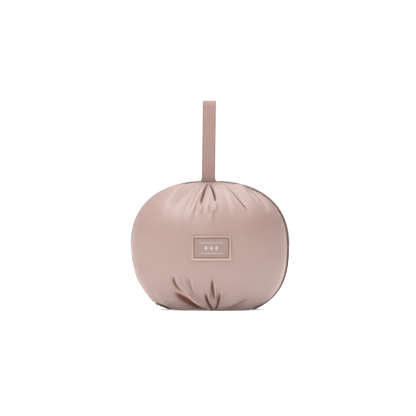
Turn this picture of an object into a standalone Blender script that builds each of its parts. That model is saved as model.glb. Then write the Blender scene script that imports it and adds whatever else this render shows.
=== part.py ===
"""A puffed, gathered underwear storage bag with a zip round its side and a webbing strap loop on top.

Metres, +Z up. The front panel faces -Y. The origin is on the floor, under the middle of the bag.
"""

import math
from collections import namedtuple

import bmesh
import bpy
from mathutils import Vector

MM = 0.001
FULL_TURN = 360

# Outline of the bag, seen from the front
BODY_WIDTH = 241.0 * MM
BODY_HEIGHT = 196.0 * MM
WAIST_HEIGHT = 97.0 * MM  # from the floor to the widest level
FLOOR_DENT = 9.0 * MM  # how far the bag would reach below the floor if nothing flattened it
TOP_POWER = 2.33  # 2 would make an ellipse, more makes it squarer
BOTTOM_POWER_LEFT = 2.4
BOTTOM_POWER_RIGHT = 2.66

# Depth of the two panels, seen from the side
FRONT_DEPTH = 56.0 * MM
BACK_DEPTH = 47.0 * MM
DEPTH_POWER = 1.06
EDGE_POWER = 1.22
BELLY = 0.06  # how much the lower half is fuller than the upper half, as a share
SIDE_DROOP = 4.0 * MM  # how far the front panel hangs over the zip at its lower left
SIDE_TUCK = 2.2 * MM  # and how far the zip is drawn in there
SIDE_TUCK_ANGLE = 211.0  # counted round the outline from the right
SIDE_TUCK_SPREAD_ANGLE = 18.0
WALL = 1.8 * MM
FLOOR_BLEND = 6.0 * MM  # the folds turn upright within this height of the floor
HEM = 2.4 * MM  # the flat stitched edge of each panel, beside the zip

# Gathers
GATHER_SPARE = 2.4 * MM  # the gathered cloth at the top reaches this far past the strap's ends
SEAM_FADE = 6.0 * MM  # the folds run out this near the zip

# Zip
ZIP_WIDTH = 12.0 * MM
CHAIN_WIDTH = 4.6 * MM
CHAIN_THICKNESS = 1.6 * MM
TAPE_THICKNESS = 1.0 * MM
TAPE_RECESS = 0.9 * MM
CHAIN_RECESS = 0.1 * MM
ZIP_INSET = 2.2 * MM  # the front edge of the zip lies this far inside its rear edge
ZIP_INSET_RIGHT = 3.2 * MM  # and this much further on the right side, at the waist
ZIP_INSET_POWER = 6  # the higher, the sooner that fades above and below the waist
ZIP_SWAY = 3.0 * MM  # the zip wanders this far forward on the right and back on the left
ZIP_END_ANGLE = 250.0  # where the zip ends, counted round the outline from the right
GAP = 0.3 * MM  # between neighbouring pieces

# Zip slider, closed, near the lower left end
SLIDER_ANGLE = 232.5
SLIDER_LENGTH = 9.0 * MM
SLIDER_WIDTH = 7.0 * MM
SLIDER_THICKNESS = 2.2 * MM
SLIDER_EDGE = 0.4 * MM
PULL_LENGTH = 13.0 * MM
PULL_DROP = 0.6 * MM  # its tip lies this much nearer the cloth
PULL_WIDTH = 4.6 * MM
PULL_THICKNESS = 1.2 * MM

# Strap loop
STRAP_WIDTH = 20.0 * MM
STRAP_THICKNESS = 1.3 * MM
STRAP_HEIGHT = 123.0 * MM  # above the top of the bag
STRAP_ROOT = 6.0 * MM  # the sewn-in ends, below the top of the bag
STRAP_SEWN = 5.0 * MM  # the two layers lie together up to here
STRAP_FLARE = 1.4 * MM
STRAP_X = -2.4 * MM
STRAP_LEAN = 1.6 * MM
LOOP_RADIUS = 11.0 * MM

# Label
LABEL_WIDTH = 58.0 * MM
LABEL_HEIGHT = 36.0 * MM
LABEL_X = 1.9 * MM
LABEL_MID_HEIGHT = 93.5 * MM
LABEL_THICKNESS = 1.0 * MM
LABEL_RIM = 2.6 * MM
LABEL_RIM_RISE = 0.6 * MM
LABEL_STEP = 0.5 * MM  # width of the slope inside the rim

# What the folds' own widths and depths are shares of, and how every fold is shaped
FOLD_WIDTH = 8.0 * MM  # from its deepest line to where its side is nearly up
FOLD_DEPTH = 4.0 * MM
FOLD_START_WIDTH = 0.75  # shares of its width at its gathered end and at its free end
FOLD_END_WIDTH = 1.15
BANK_SHARE = 0.22  # the cloth rises beside a fold by this share of its depth
BANK_PLACE = 2.1  # and this many half widths from its middle

# Mesh density
FRONT_COLUMNS, FRONT_ROWS = 44, 32
BACK_COLUMNS, BACK_ROWS = 32, 24
ZIP_STATIONS = 72
GUSSET_STATIONS = 12
STRAP_COLUMNS = 4
STRAP_LEG_STEPS = 14
STRAP_TURN_STEPS = 10
LABEL_STEPS = 8
CURVE_SAMPLES = 16
COLUMN_CROWDING = 0.45  # 0 spaces the columns evenly, more crowds them to the middle
ROW_CROWDING = 0.35  # 0 spaces the rows evenly, more crowds them to the top and bottom
SEARCH_STEPS = 10
SEARCH_NUDGE = 0.001
SHARP_ANGLE = 40.0  # edges that turn more than this stay sharp

# What follows from the sizes above
HALF_WIDTH = BODY_WIDTH / 2
TOP_RISE = BODY_HEIGHT - WAIST_HEIGHT
BOTTOM_DROP = WAIST_HEIGHT + FLOOR_DENT
FRONT_REACH = ZIP_WIDTH / 2 + GAP + HEM + FRONT_DEPTH + GAP + LABEL_THICKNESS + LABEL_RIM_RISE
BACK_REACH = ZIP_WIDTH / 2 + GAP + HEM + BACK_DEPTH
SEAM_Y = (FRONT_REACH - BACK_REACH) / 2
GATHER_WIDTH = STRAP_WIDTH + 2 * (STRAP_FLARE + abs(STRAP_X) + GATHER_SPARE)
STRAP_STACK = 2 * STRAP_THICKNESS + GAP  # the two layers of the strap at its root
STRAP_Y = SEAM_Y + ZIP_WIDTH / 2 + GAP + STRAP_STACK / 2
TAPE_WIDTH = (ZIP_WIDTH - CHAIN_WIDTH) / 2 - GAP

# One row for each fold, all in shares: x of half the bag's width and z of its height, at the fold's
# gathered end, half-way and its free end; then its own width and depth (a ridge's depth is negative).
Fold = namedtuple("Fold", "name x0 z0 x1 z1 x2 z2 width depth")
FRONT_FOLDS = (
    Fold("top pleat left", -0.03, 0.985, -0.085, 0.890, -0.14, 0.780, 0.60, 0.95),
    Fold("top pleat right", 0.00, 0.985, 0.06, 0.890, 0.08, 0.790, 0.60, 0.90),
    Fold("top crease right", 0.17, 0.965, 0.345, 0.885, 0.475, 0.765, 0.69, 0.80),
    Fold("top hollow left", -0.17, 0.965, -0.38, 0.880, -0.52, 0.745, 1.00, 0.75),
    Fold("top hollow far right", 0.48, 0.925, 0.63, 0.845, 0.72, 0.730, 0.88, 0.50),
    Fold("top middle ridge", 0.00, 0.880, 0.015, 0.780, 0.012, 0.640, 0.75, -0.35),
    Fold("bottom pleat left", 0.04, -0.02, -0.04, 0.055, -0.08, 0.165, 0.60, 0.95),
    Fold("bottom pleat right", 0.08, -0.02, 0.13, 0.060, 0.14, 0.165, 0.60, 0.90),
    Fold("bottom crease middle", 0.06, 0.040, 0.035, 0.130, 0.018, 0.270, 0.62, 0.70),
    Fold("bottom hollow left", 0.00, -0.01, -0.23, 0.050, -0.46, 0.160, 1.19, 1.62),
    Fold("bottom crease left", -0.21, 0.100, -0.31, 0.185, -0.34, 0.280, 0.69, 0.65),
    Fold("bottom hollow right", 0.14, 0.010, 0.33, 0.040, 0.49, 0.115, 0.88, 0.65),
    Fold("bottom ridge far left", -0.47, 0.000, -0.58, 0.110, -0.66, 0.225, 0.75, -0.40),
)
BACK_FOLDS = (
    Fold("top pleat left", 0.02, 0.985, 0.10, 0.895, 0.15, 0.780, 0.62, 1.00),
    Fold("top pleat right", -0.02, 0.985, -0.06, 0.895, -0.09, 0.790, 0.62, 1.00),
    Fold("top hollow left", 0.15, 0.965, 0.38, 0.880, 0.50, 0.745, 1.00, 0.75),
    Fold("top hollow right", -0.15, 0.965, -0.36, 0.885, -0.50, 0.760, 0.88, 0.70),
    Fold("bottom pleat left", 0.02, -0.02, 0.08, 0.070, 0.11, 0.190, 0.62, 1.00),
    Fold("bottom pleat right", -0.02, -0.02, -0.07, 0.065, -0.09, 0.180, 0.62, 1.00),
    Fold("bottom hollow left", 0.10, 0.000, 0.30, 0.070, 0.44, 0.190, 1.00, 1.00),
    Fold("bottom hollow right", -0.10, 0.000, -0.31, 0.065, -0.46, 0.170, 1.00, 0.90),
)

# Colour, roughness and metallic value of each material
FINISHES = {
    "bag_cloth": ((0.62, 0.44, 0.39), 0.5, 0.0),
    "strap_webbing": ((0.52, 0.37, 0.34), 0.75, 0.0),
    "zip_tape": ((0.24, 0.13, 0.11), 0.8, 0.0),
    "zip_coil": ((0.33, 0.20, 0.17), 0.45, 0.0),
    "slider_metal": ((0.70, 0.54, 0.48), 0.4, 0.3),
    "label_patch": ((0.50, 0.35, 0.31), 0.7, 0.0),
}


def eased(low, high, value):
    """0 below low, 1 above high, and smooth between them."""
    share = min(1.0, max(0.0, (value - low) / (high - low)))
    return share * share * (3 - 2 * share)


def powered(value, power):
    """The power of a number's size, with its sign kept."""
    return math.copysign(abs(value) ** power, value)


def mixed(a, b, share):
    """The value that lies this share of the way from a to b."""
    return a + (b - a) * share


def zip_inset(angle):
    """How far the front edge of the zip lies inside its rear edge."""
    return ZIP_INSET + ZIP_INSET_RIGHT * max(0.0, math.cos(angle)) ** ZIP_INSET_POWER


def seam_y(angle):
    """The middle of the zip in depth: further forward on the right, further back on the left."""
    return SEAM_Y - ZIP_SWAY * 0.5 * powered(math.cos(angle), 2.0)


def corner_shape(upper, right):
    """The height and the roundness of one quarter of the outline."""
    if upper:
        return TOP_RISE, TOP_POWER
    return BOTTOM_DROP, BOTTOM_POWER_RIGHT if right else BOTTOM_POWER_LEFT


def outline(angle, inset=0.0):
    """x and z, from the middle of the waist, of the zip's line pulled inwards by inset."""
    away = (math.degrees(angle) % FULL_TURN - SIDE_TUCK_ANGLE) / SIDE_TUCK_SPREAD_ANGLE
    inset += SIDE_TUCK * math.exp(-away * away)
    rise, power = corner_shape(math.sin(angle) >= 0, math.cos(angle) >= 0)
    x = HALF_WIDTH * powered(math.cos(angle), 2 / power)
    z = rise * powered(math.sin(angle), 2 / power)
    across = Vector((
        powered(x / HALF_WIDTH, power - 1) / HALF_WIDTH,
        powered(z / rise, power - 1) / rise,
    )).normalized()
    return x - inset * across.x, z - inset * across.y


def end_angle(upper, right):
    """The angle at which half the outline's width has shrunk to half the gathered width."""
    power = corner_shape(upper, right)[1]
    return math.acos((GATHER_WIDTH / 2 / HALF_WIDTH) ** (power / 2))


def fold_depth(folds, x, z):
    """How deep the cloth is folded in at x, z, seen from the front."""
    total = 0.0
    for fold in folds:
        near, at = math.inf, 0.0
        for step in range(CURVE_SAMPLES + 1):
            share = step / CURVE_SAMPLES
            ahead = 1 - share
            weights = (ahead * ahead, 2 * ahead * share, share * share)
            bend_x = 2 * fold.x1 - (fold.x0 + fold.x2) / 2
            bend_z = 2 * fold.z1 - (fold.z0 + fold.z2) / 2
            dx = x - HALF_WIDTH * (weights[0] * fold.x0 + weights[1] * bend_x + weights[2] * fold.x2)
            dz = z - BODY_HEIGHT * (weights[0] * fold.z0 + weights[1] * bend_z + weights[2] * fold.z2)
            away = math.hypot(dx, dz)
            if away < near:
                near, at = away, share
        width = FOLD_WIDTH * fold.width * mixed(FOLD_START_WIDTH, FOLD_END_WIDTH, at)
        along = eased(-0.15, 0.3, at) * (1 - eased(0.55, 1.0, at) * 0.9)
        across = math.exp(-((near / width) ** 2))
        banks = BANK_SHARE * math.exp(-((near / width - BANK_PLACE) ** 2))
        total += FOLD_DEPTH * fold.depth * along * (across - banks)
    return total


def panel_point(facing, folds, depth, column, row):
    """A point of a panel: column runs from its left rim to its right rim, 0 to 1, and row from top to bottom."""
    front = facing < 0
    down = row - ROW_CROWDING * math.sin(2 * math.pi * row) / (2 * math.pi)
    turns = [mixed(end_angle(True, right), -end_angle(False, right), down) for right in (True, False)]
    angles = (turns[0], math.pi - turns[1])
    right, left = (outline(angle, zip_inset(angle) if front else 0.0) for angle in angles)
    crowded = 2 * column - 1
    sweep = math.pi / 2 * (1 - mixed(crowded, powered(crowded, 3), COLUMN_CROWDING))
    share = (1 + math.cos(sweep)) / 2
    x = mixed(left[0], right[0], share)
    z = mixed(left[1], right[1], share)
    turn = mixed(turns[1], turns[0], share)
    limit = math.cos(mixed(end_angle(turn > 0, False), end_angle(turn > 0, True), share))
    fullness = max(0.0, (math.cos(turn) - limit) / (1 - limit)) ** DEPTH_POWER
    fullness *= 1 - BELLY * math.sin(turn)
    bulge = depth * fullness * math.sin(sweep) ** EDGE_POWER
    rim = mixed(seam_y(angles[1]), seam_y(angles[0]), share) + facing * (ZIP_WIDTH / 2 + GAP)
    if not front:
        rim += strap_notch(x, z + WAIST_HEIGHT)
    normal = Vector((
        x / HALF_WIDTH**2,
        facing * max(bulge, MM) / depth**2,
        z / (TOP_RISE if z > 0 else BOTTOM_DROP) ** 2,
    )).normalized()
    height = z + WAIST_HEIGHT
    normal = Vector((0, 0, -1)).lerp(normal, eased(0.0, FLOOR_BLEND, height)).normalized()
    sunk = fold_depth(folds, x, height) * eased(0.0, SEAM_FADE, bulge)
    if front:
        sunk -= droop(x, z, bulge)
    place = Vector((x, rim + facing * (HEM + bulge), max(0.0, height))) - normal * sunk
    place.z = max(0.0, place.z)
    return place, rim, (x, height)


def droop(x, z, bulge):
    """How far the cloth hangs outwards over the zip, at the lower left of the front."""
    low = eased(0.12, 0.5, -z / BOTTOM_DROP) * (1 - eased(0.79, 0.88, -z / BOTTOM_DROP))
    left = eased(0.3, 0.7, -x / HALF_WIDTH)
    near_rim = eased(0.0, 0.09, bulge / FRONT_DEPTH) * (1 - eased(0.25, 0.6, bulge / FRONT_DEPTH))
    return SIDE_DROOP * low * left * near_rim


def strap_notch(x, height):
    """How far the back panel's edge stands back to let the strap's ends in."""
    reach = STRAP_WIDTH / 2 + STRAP_FLARE + GATHER_SPARE
    beside = eased(reach, 1.6 * reach, abs(x - STRAP_X))
    below = eased(0.0, 2.3 * STRAP_ROOT, BODY_HEIGHT - height)
    return (STRAP_STACK + GAP) * (1 - beside) * (1 - below)


def make_material(name):
    """A plain material with the colour, roughness and metallic value of the real piece."""
    colour, roughness, metallic = FINISHES[name]
    material = bpy.data.materials.new(name)
    material.use_nodes = True
    shader = material.node_tree.nodes["Principled BSDF"]
    shader.inputs["Base Color"].default_value = (*colour, 1.0)
    shader.inputs["Roughness"].default_value = roughness
    shader.inputs["Metallic"].default_value = metallic
    material.diffuse_color = (*colour, 1.0)
    return material


def add_object(name, shape, finish, collection, smooth=True):
    """Turns a bmesh into a named object with its material."""
    mesh = bpy.data.meshes.new(name)
    shape.to_mesh(mesh)
    shape.free()
    if smooth:
        mesh.shade_smooth()
        mesh.set_sharp_from_angle(angle=math.radians(SHARP_ANGLE))
    piece = bpy.data.objects.new(name, mesh)
    piece.data.materials.append(bpy.data.materials.get(finish) or make_material(finish))
    collection.objects.link(piece)
    return piece


def add_solidify(piece, thickness):
    """Gives an open surface its wall, inwards from the side that its faces show."""
    wall = piece.modifiers.new("wall", "SOLIDIFY")
    wall.thickness = thickness
    wall.offset = -1.0
    return wall


def face_outwards(shape, outward):
    """Turns the faces of an open grid so that the flattest one looks the way given."""
    shape.normal_update()
    flattest = max(shape.faces, key=lambda face: abs(face.normal.dot(Vector(outward))))
    if flattest.normal.dot(Vector(outward)) < 0:
        bmesh.ops.reverse_faces(shape, faces=shape.faces[:])


def make_grid(columns, rows):
    """A flat grid, with each vertex's column and row."""
    shape = bmesh.new()
    bmesh.ops.create_grid(shape, x_segments=columns, y_segments=rows, size=0.5)
    cells = {}
    for vertex in shape.verts:
        column = round((vertex.co.x + 0.5) * columns)
        row = round((0.5 - vertex.co.y) * rows)
        cells[vertex] = (column, row)
    return shape, cells


def make_panel(name, facing, folds, depth, columns, rows, collection):
    """A gathered shell of cloth: its outermost ring of faces is the flat hem beside the zip."""
    shape, cells = make_grid(columns, rows)
    for vertex, (column, row) in cells.items():
        inner_column = min(max(column - 1, 0), columns - 2) / (columns - 2)
        inner_row = min(max(row - 1, 0), rows - 2) / (rows - 2)
        place, rim, (x, height) = panel_point(facing, folds, depth, inner_column, inner_row)
        if column in (0, columns) or row in (0, rows):
            place = Vector((x, rim, max(0.0, height)))
        vertex.co = place
    bmesh.ops.remove_doubles(shape, verts=shape.verts[:], dist=GAP / 10)
    face_outwards(shape, (0, facing, 0))
    panel = add_object(name, shape, "bag_cloth", collection)
    add_solidify(panel, WALL)
    return panel


def ring_point(angle, across, recess):
    """A point of the zip's band: across runs from its front edge to its rear edge, in metres."""
    share = across / ZIP_WIDTH
    x, z = outline(angle, zip_inset(angle) * (1 - share) + recess)
    return Vector((x, seam_y(angle) + across - ZIP_WIDTH / 2, max(recess, z + WAIST_HEIGHT)))


def make_band(name, low, high, recess, thickness, angles, finish, collection):
    """A flat strip swept round the outline, from low to high across the zip's width."""
    corners = ((low, recess), (high, recess), (high, recess + thickness), (low, recess + thickness))
    shape = bmesh.new()
    ring = [shape.verts.new(ring_point(angles[0], *corner)) for corner in corners]
    shape.faces.new(ring)
    for angle in angles[1:]:
        sides = [shape.edges.get((ring[side - 1], ring[side])) for side in range(len(ring))]
        drawn = bmesh.ops.extrude_edge_only(shape, edges=sides)["geom"]
        fresh = {item for item in drawn if isinstance(item, bmesh.types.BMVert)}
        ring = [edge.other_vert(vertex) for vertex in ring for edge in vertex.link_edges
                if edge.other_vert(vertex) in fresh]
        for vertex, corner in zip(ring, corners):
            vertex.co = ring_point(angle, *corner)
    shape.faces.new(ring)
    bmesh.ops.recalc_face_normals(shape, faces=shape.faces[:])
    return add_object(name, shape, finish, collection)


def spread_angles(start, stop, count):
    """Angles from start to stop, in radians, for a band's stations."""
    return [math.radians(mixed(start, stop, step / count)) for step in range(count + 1)]


def make_zip(collection):
    """The two tapes, the closed chain between them, and the plain strip under the bag where the zip ends."""
    start, stop = FULL_TURN / 2 - ZIP_END_ANGLE, ZIP_END_ANGLE
    angles = spread_angles(start, stop, ZIP_STATIONS)
    chain_low = TAPE_WIDTH + GAP
    tape = (TAPE_RECESS, TAPE_THICKNESS, angles, "zip_tape", collection)
    make_band("zip_tape_front", 0.0, TAPE_WIDTH, *tape)
    make_band("zip_tape_back", ZIP_WIDTH - TAPE_WIDTH, ZIP_WIDTH, *tape)
    make_band(
        "zip_chain", chain_low, chain_low + CHAIN_WIDTH, CHAIN_RECESS, CHAIN_THICKNESS,
        angles, "zip_coil", collection,
    )
    clear = math.degrees(GAP / HALF_WIDTH)
    under = spread_angles(stop + clear, FULL_TURN + start - clear, GUSSET_STATIONS)
    make_band("base_gusset", 0.0, ZIP_WIDTH, 0.0, WALL, under, "bag_cloth", collection)


def make_slider(collection):
    """The zip's slider with its pull lying back over the rear tape, as one plain piece."""
    angle = math.radians(SLIDER_ANGLE)
    here, ahead = outline(angle), outline(angle + 0.01)
    along = Vector((ahead[0] - here[0], 0, ahead[1] - here[1])).normalized()
    outward = Vector((0, 1, 0)).cross(along)
    if outward.dot(Vector((here[0], 0, here[1]))) < 0:
        outward = -outward
    body_lift = GAP + SLIDER_THICKNESS / 2 - CHAIN_RECESS - zip_inset(angle) * (TAPE_WIDTH + GAP) / ZIP_WIDTH
    pull_lift = GAP + PULL_THICKNESS / 2 - body_lift
    base = Vector((here[0], seam_y(angle), here[1] + WAIST_HEIGHT)) + outward * body_lift
    shape = bmesh.new()
    body = bmesh.ops.create_cube(shape, size=1.0)["verts"]
    bmesh.ops.scale(shape, verts=body, vec=(SLIDER_LENGTH, SLIDER_WIDTH, SLIDER_THICKNESS))
    rear = [face for face in shape.faces if face.normal.y > 0.9]
    bmesh.ops.inset_region(shape, faces=rear, thickness=(SLIDER_THICKNESS - PULL_THICKNESS) / 2)
    squeeze = PULL_WIDTH / (SLIDER_LENGTH - (SLIDER_THICKNESS - PULL_THICKNESS))
    bmesh.ops.scale(shape, verts=rear[0].verts[:], vec=(squeeze, 1, 1))
    bmesh.ops.translate(shape, verts=rear[0].verts[:], vec=(0, 0, pull_lift))
    drawn = bmesh.ops.extrude_face_region(shape, geom=rear)["geom"]
    tip = [item for item in drawn if isinstance(item, bmesh.types.BMVert)]
    bmesh.ops.translate(shape, verts=tip, vec=(0, PULL_LENGTH, -PULL_DROP))
    bmesh.ops.delete(shape, geom=[face for face in rear if face.is_valid], context="FACES_ONLY")
    for vertex in shape.verts:
        local = vertex.co.copy()
        vertex.co = base + along * local.x + Vector((0, local.y, 0)) + outward * local.z
    shape.normal_update()
    bmesh.ops.recalc_face_normals(shape, faces=shape.faces[:])
    slider = add_object("zip_slider", shape, "slider_metal", collection)
    edge = slider.modifiers.new("edge", "BEVEL")
    edge.width = SLIDER_EDGE
    edge.segments = 2
    return slider


def strap_path():
    """Offsets in depth and heights of the strap's middle line: up the front, over the top and down the back."""
    half_root = (STRAP_THICKNESS + GAP) / 2
    half_open = LOOP_RADIUS - STRAP_THICKNESS / 2
    low = BODY_HEIGHT - STRAP_ROOT
    high = BODY_HEIGHT + STRAP_HEIGHT - LOOP_RADIUS
    leg = []
    for step in range(STRAP_LEG_STEPS + 1):
        height = mixed(low, high, step / STRAP_LEG_STEPS)
        opened = eased(BODY_HEIGHT + STRAP_SEWN, high + 0.2 * STRAP_HEIGHT, height)
        opened /= eased(BODY_HEIGHT + STRAP_SEWN, high + 0.2 * STRAP_HEIGHT, high)
        leg.append((mixed(half_root, half_open, opened), height))
    turn = []
    for step in range(1, STRAP_TURN_STEPS):
        angle = math.pi * step / STRAP_TURN_STEPS
        turn.append((-half_open * math.cos(angle), high + half_open * math.sin(angle)))
    front = [(-away, height) for away, height in leg]
    return front + turn + leg[::-1]


def make_strap(collection):
    """The webbing loop, its two ends sewn in behind the zip."""
    path = strap_path()
    shape, cells = make_grid(STRAP_COLUMNS, len(path) - 1)
    for vertex, (column, row) in cells.items():
        away, height = path[row]
        above = height - BODY_HEIGHT
        flare = STRAP_FLARE * (1 - eased(0.0, STRAP_SEWN, above))
        middle = STRAP_X + STRAP_LEAN * max(0.0, above) / STRAP_HEIGHT
        across = (column / STRAP_COLUMNS - 0.5) * (STRAP_WIDTH + 2 * flare)
        vertex.co = (middle + across, STRAP_Y + away, height)
    shape.normal_update()
    front_leg = min(shape.faces, key=lambda face: face.calc_center_median().y)
    if front_leg.normal.y > 0:
        bmesh.ops.reverse_faces(shape, faces=shape.faces[:])
    strap = add_object("strap", shape, "strap_webbing", collection)
    wall = add_solidify(strap, STRAP_THICKNESS)
    wall.offset = 0.0
    return strap


def label_stops(length):
    """Places along one side of the label: its edge, both ends of the rim's slope, and steps between."""
    half = length / 2
    inside = half - LABEL_RIM - LABEL_STEP
    middle = [mixed(-inside, inside, step / LABEL_STEPS) for step in range(LABEL_STEPS + 1)]
    return [-half, -half + LABEL_RIM, *middle, half - LABEL_RIM, half]


def front_surface(x, height):
    """How far forward the front panel lies at x and height, found by steps towards them."""
    column, row = 0.5, 0.5
    for _ in range(SEARCH_STEPS):
        place, _rim, here = panel_point(-1, (), FRONT_DEPTH, column, row)
        beside = panel_point(-1, (), FRONT_DEPTH, column + SEARCH_NUDGE, row)[2]
        below = panel_point(-1, (), FRONT_DEPTH, column, row + SEARCH_NUDGE)[2]
        column += (x - here[0]) * SEARCH_NUDGE / (beside[0] - here[0])
        row += (height - here[1]) * SEARCH_NUDGE / (below[1] - here[1])
    return place.y


def make_label(collection):
    """The patch on the front: a thin plate that follows the cloth, with a raised rim."""
    across, up = label_stops(LABEL_WIDTH), label_stops(LABEL_HEIGHT)
    shape, cells = make_grid(len(across) - 1, len(up) - 1)
    for vertex, (column, row) in cells.items():
        x, height = across[column] + LABEL_X, up[row] + LABEL_MID_HEIGHT
        edge = column in (0, 1, len(across) - 2, len(across) - 1) or row in (0, 1, len(up) - 2, len(up) - 1)
        rise = GAP + LABEL_THICKNESS + (LABEL_RIM_RISE if edge else 0.0)
        vertex.co = (x, front_surface(x, height) - rise, height)
    face_outwards(shape, (0, -1, 0))
    back = bmesh.ops.extrude_face_region(shape, geom=shape.faces[:])["geom"]
    for item in back:
        if isinstance(item, bmesh.types.BMVert):
            item.co.y = front_surface(item.co.x, item.co.z) - GAP
    bmesh.ops.recalc_face_normals(shape, faces=shape.faces[:])
    return add_object("label", shape, "label_patch", collection, smooth=False)


def main():
    for leftover in list(bpy.data.objects):
        bpy.data.objects.remove(leftover)
    collection = bpy.data.collections.new("storage_bag")
    bpy.context.scene.collection.children.link(collection)
    make_panel("front_panel", -1, FRONT_FOLDS, FRONT_DEPTH, FRONT_COLUMNS, FRONT_ROWS, collection)
    make_panel("back_panel", 1, BACK_FOLDS, BACK_DEPTH, BACK_COLUMNS, BACK_ROWS, collection)
    make_zip(collection)
    make_slider(collection)
    make_strap(collection)
    make_label(collection)


main()
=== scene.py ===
"""A puffed, gathered storage bag in satin cloth, with its zip, webbing loop and stitched patch."""

import math
from collections import namedtuple

import bmesh
import bpy
import numpy as np
from bpy.props import FloatProperty, FloatVectorProperty, IntProperty, PointerProperty
from mathutils import Matrix, Vector
from mathutils.bvhtree import BVHTree


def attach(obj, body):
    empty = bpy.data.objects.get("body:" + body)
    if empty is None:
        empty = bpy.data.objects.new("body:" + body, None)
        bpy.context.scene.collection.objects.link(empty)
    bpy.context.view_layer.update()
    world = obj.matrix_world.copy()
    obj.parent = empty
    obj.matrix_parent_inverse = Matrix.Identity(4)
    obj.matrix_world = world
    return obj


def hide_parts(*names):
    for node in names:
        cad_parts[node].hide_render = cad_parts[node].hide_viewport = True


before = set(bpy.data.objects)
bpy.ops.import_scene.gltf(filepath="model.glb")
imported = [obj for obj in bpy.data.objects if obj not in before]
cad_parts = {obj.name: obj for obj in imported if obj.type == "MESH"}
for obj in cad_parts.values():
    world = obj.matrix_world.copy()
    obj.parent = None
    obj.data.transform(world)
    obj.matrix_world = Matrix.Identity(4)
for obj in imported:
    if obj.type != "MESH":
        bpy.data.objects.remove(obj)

bl_info = {
    "name": "Gathered Storage Bag",
    "version": (1, 0, 0),
    "blender": (4, 5, 0),
    "location": "3D View > Sidebar > Storage Bag",
    "description": "Sews a gathered satin storage bag with its zip, strap and patch over the packed model",
    "category": "Add Mesh",
}

MM = 0.001
FULL_TURN = 360

# How the panels, the zip and the strap are laid out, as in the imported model
BOTTOM_POWER_LEFT = 2.4
BOTTOM_POWER_RIGHT = 2.66
DEPTH_POWER = 1.06
EDGE_POWER = 1.22
BELLY = 0.06
SIDE_DROOP = 4.0 * MM
SIDE_TUCK = 2.2 * MM
SIDE_TUCK_ANGLE = 211.0
SIDE_TUCK_SPREAD_ANGLE = 18.0
FLOOR_BLEND = 6.0 * MM
GAP = 0.3 * MM
HEM = 2.4 * MM
GATHER_SPARE = 2.4 * MM
SEAM_FADE = 6.0 * MM
ZIP_SWAY = 3.0 * MM
ZIP_END_ANGLE = 250.0
TAPE_RECESS = 0.9 * MM
CHAIN_RECESS = 0.1 * MM
STRAP_ROOT = 6.0 * MM
STRAP_SEWN = 5.0 * MM
STRAP_FLARE = 1.4 * MM
STRAP_X = -2.4 * MM
STRAP_LEAN = 1.6 * MM
LABEL_X = 1.9 * MM
LABEL_MID_HEIGHT = 93.5 * MM
LABEL_REACH = 1.6 * MM  # how far the patch's rim stands off the cloth
COLUMN_CROWDING = 0.45
ROW_CROWDING = 0.35

# What only the dressed bag has: the zip's corner is pulled out, the hems are rolled, and the tapes and the
# coil's core run on under their neighbours
CORNER_PULL = 2.6 * MM
CORNER_SPREAD_ANGLE = 7.0
HEM_RINGS = 5
HEM_ROLL = 0.75 * MM
HEM_TUCK = 0.5 * MM
TAPE_WALL = 0.75 * MM
TAPE_DIPS = (0.25, 0.05, 0.0, 0.0, 0.0, 0.05, 0.25)  # in millimetres, from edge to edge
SEAM_ALLOWANCE = 3.8 * MM
SEAM_RETURN = 0.1 * MM  # the sewn-in edge starts this far inside the tape's own
SEAM_DEPTH = 2.7 * MM
SEAM_UNDER_STRAP = 7.2 * MM
TOOTH_HEIGHT = 1.1 * MM
TOOTH_SHARE = 0.74  # of the coil's width
TOOTH_SHIFT = 0.12  # of the coil's width, to each side in turn
CORE_WALL = 0.5 * MM
CORE_DEPTH = 0.95 * MM
CORE_HEM = 1.4 * MM
CORE_HEM_DEPTH = 2.1 * MM
SLIDER_ANGLE = 232.8
SLIDER_RISE = 0.5 * MM
SLIDER_TAPER = 0.3

# The patch's section, from its edge inwards, and its stitches
PATCH_EDGE = 0.55 * MM
PATCH_RISE = 0.9 * MM
PATCH_RIM_RISE = 0.75 * MM
PATCH_GROOVE = 0.25 * MM
PATCH_GROOVE_REACH = 0.5 * MM
PATCH_WALL = 0.5 * MM
PATCH_STITCH = 2.0 * MM
PATCH_STITCH_PITCH = 2.8 * MM
STRAP_STITCH = 1.9 * MM
STRAP_STITCH_PITCH = 2.6 * MM
STRAP_STITCH_HEIGHT = 3.4 * MM
STRAP_RIB = 0.10 * MM
STRAP_RIBS = 7

# Mesh density
BAND_STATIONS = 360
BASE_STATIONS = 60
STRAP_COLUMNS, STRAP_LEG_STEPS, STRAP_TURN_STEPS = 42, 90, 25
PATCH_COLUMNS, PATCH_ROWS = 116, 72
CURVE_STEPS = 20

# The folds' own widths and depths are shares of these
FOLD_WIDTH = 8.0 * MM
FOLD_DEPTH = 4.0 * MM
FOLD_START_WIDTH = 0.75
FOLD_END_WIDTH = 1.15
BANK_SHARE = 0.22
BANK_PLACE = 2.1
CREASE_WIDTH = 1.1 * MM

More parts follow.
